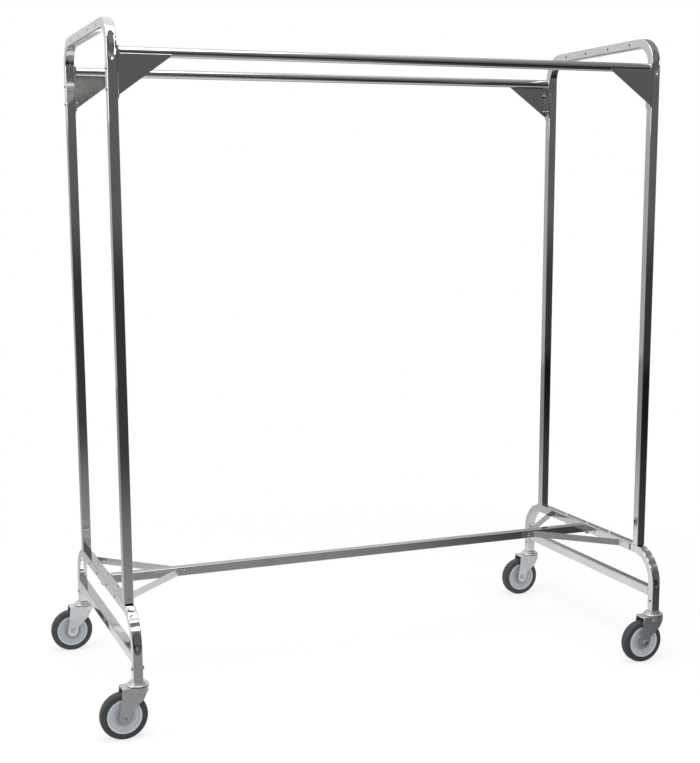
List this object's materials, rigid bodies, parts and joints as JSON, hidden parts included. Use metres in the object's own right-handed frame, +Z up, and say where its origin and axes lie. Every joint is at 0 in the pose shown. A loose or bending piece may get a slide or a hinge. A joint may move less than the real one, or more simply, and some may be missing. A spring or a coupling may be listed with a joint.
{
  "type": "rolling clothes rack",
  "caption": "Double-rail rolling garment rack: bent square-tube end frames and bases joined by round hang rails, a low centre rail and diagonal braces, on swivel casters.",
  "frame": {"origin": "on the floor, under the middle of the rack's fixed frame", "axes": "+X along the hang rails towards the right end, +Y across the rack towards the rear rail, +Z up"},
  "size_m": [1.69, 0.7964, 1.813],
  "materials": {
    "chrome_tube": "bright chrome plate",
    "bracket_steel": "dull grey plated sheet",
    "brace_steel": "chrome plated flat bar",
    "zinc_steel": "bright zinc plated pressing",
    "fastener_zinc": "zinc plated",
    "inner_steel": "plain plated steel",
    "ball_steel": "polished",
    "wheel_plastic": "moulded, satin",
    "tyre": "dark grey non-marking rubber"
  },
  "bodies": {
    "rack_frame": {"left_end_frame": "chrome_tube", "right_end_frame": "chrome_tube", "left_base_frame": "chrome_tube", "right_base_frame": "chrome_tube", "left_stretcher": "chrome_tube", "right_stretcher": "chrome_tube", "front_hang_rail": "chrome_tube", "rear_hang_rail": "chrome_tube", "left_front_gusset": "bracket_steel", "left_rear_gusset": "bracket_steel", "right_front_gusset": "bracket_steel", "right_rear_gusset": "bracket_steel", "gusset_bolts": "fastener_zinc", "gusset_nuts": "fastener_zinc", "centre_rail": "chrome_tube", "left_rail_bracket": "zinc_steel", "right_rail_bracket": "zinc_steel", "left_front_brace": "brace_steel", "left_rear_brace": "brace_steel", "right_front_brace": "brace_steel", "right_rear_brace": "brace_steel", "brace_rivets": "fastener_zinc", "base_top_bolts": "fastener_zinc", "base_top_nuts": "fastener_zinc", "base_side_rivets": "fastener_zinc", "upright_spigots": "inner_steel", "spigot_screws": "fastener_zinc", "stem_cross_bolts": "fastener_zinc", "stem_cap_nuts": "fastener_zinc", "swivel_balls": "ball_steel", "left_front_stem": "inner_steel", "left_front_raceway": "zinc_steel", "left_rear_stem": "inner_steel", "left_rear_raceway": "zinc_steel", "right_front_stem": "inner_steel", "right_front_raceway": "zinc_steel", "right_rear_stem": "inner_steel", "right_rear_raceway": "zinc_steel"},
    "left_front_swivel": {"left_front_fork": "zinc_steel", "left_front_axle": "fastener_zinc", "left_front_axle_nut": "fastener_zinc"},
    "left_front_wheel": {"left_front_hub": "wheel_plastic", "left_front_tyre": "tyre"},
    "left_rear_swivel": {"left_rear_fork": "zinc_steel", "left_rear_axle": "fastener_zinc", "left_rear_axle_nut": "fastener_zinc"},
    "left_rear_wheel": {"left_rear_hub": "wheel_plastic", "left_rear_tyre": "tyre"},
    "right_front_swivel": {"right_front_fork": "zinc_steel", "right_front_axle": "fastener_zinc", "right_front_axle_nut": "fastener_zinc"},
    "right_front_wheel": {"right_front_hub": "wheel_plastic", "right_front_tyre": "tyre"},
    "right_rear_swivel": {"right_rear_fork": "zinc_steel", "right_rear_axle": "fastener_zinc", "right_rear_axle_nut": "fastener_zinc"},
    "right_rear_wheel": {"right_rear_hub": "wheel_plastic", "right_rear_tyre": "tyre"}
  },
  "joints": [
    {"name": "left_front_swivel_turn", "type": "hinge", "parent": "rack_frame", "child": "left_front_swivel", "pos_m": [-0.78, -0.369, 0.138], "axis": [0, 0, 1], "continuous": true},
    {"name": "left_front_wheel_spin", "type": "hinge", "parent": "left_front_swivel", "child": "left_front_wheel", "pos_m": [-0.819, -0.369, 0.0625], "axis": [0, 1, 0], "continuous": true},
    {"name": "left_rear_swivel_turn", "type": "hinge", "parent": "rack_frame", "child": "left_rear_swivel", "pos_m": [-0.78, 0.369, 0.138], "axis": [0, 0, 1], "continuous": true},
    {"name": "left_rear_wheel_spin", "type": "hinge", "parent": "left_rear_swivel", "child": "left_rear_wheel", "pos_m": [-0.819, 0.369, 0.0625], "axis": [0, 1, 0], "continuous": true},
    {"name": "right_front_swivel_turn", "type": "hinge", "parent": "rack_frame", "child": "right_front_swivel", "pos_m": [0.78, -0.369, 0.138], "axis": [0, 0, 1], "continuous": true},
    {"name": "right_front_wheel_spin", "type": "hinge", "parent": "right_front_swivel", "child": "right_front_wheel", "pos_m": [0.741, -0.369, 0.0625], "axis": [0, 1, 0], "continuous": true},
    {"name": "right_rear_swivel_turn", "type": "hinge", "parent": "rack_frame", "child": "right_rear_swivel", "pos_m": [0.78, 0.369, 0.138], "axis": [0, 0, 1], "continuous": true},
    {"name": "right_rear_wheel_spin", "type": "hinge", "parent": "right_rear_swivel", "child": "right_rear_wheel", "pos_m": [0.741, 0.369, 0.0625], "axis": [0, 1, 0], "continuous": true}
  ]
}
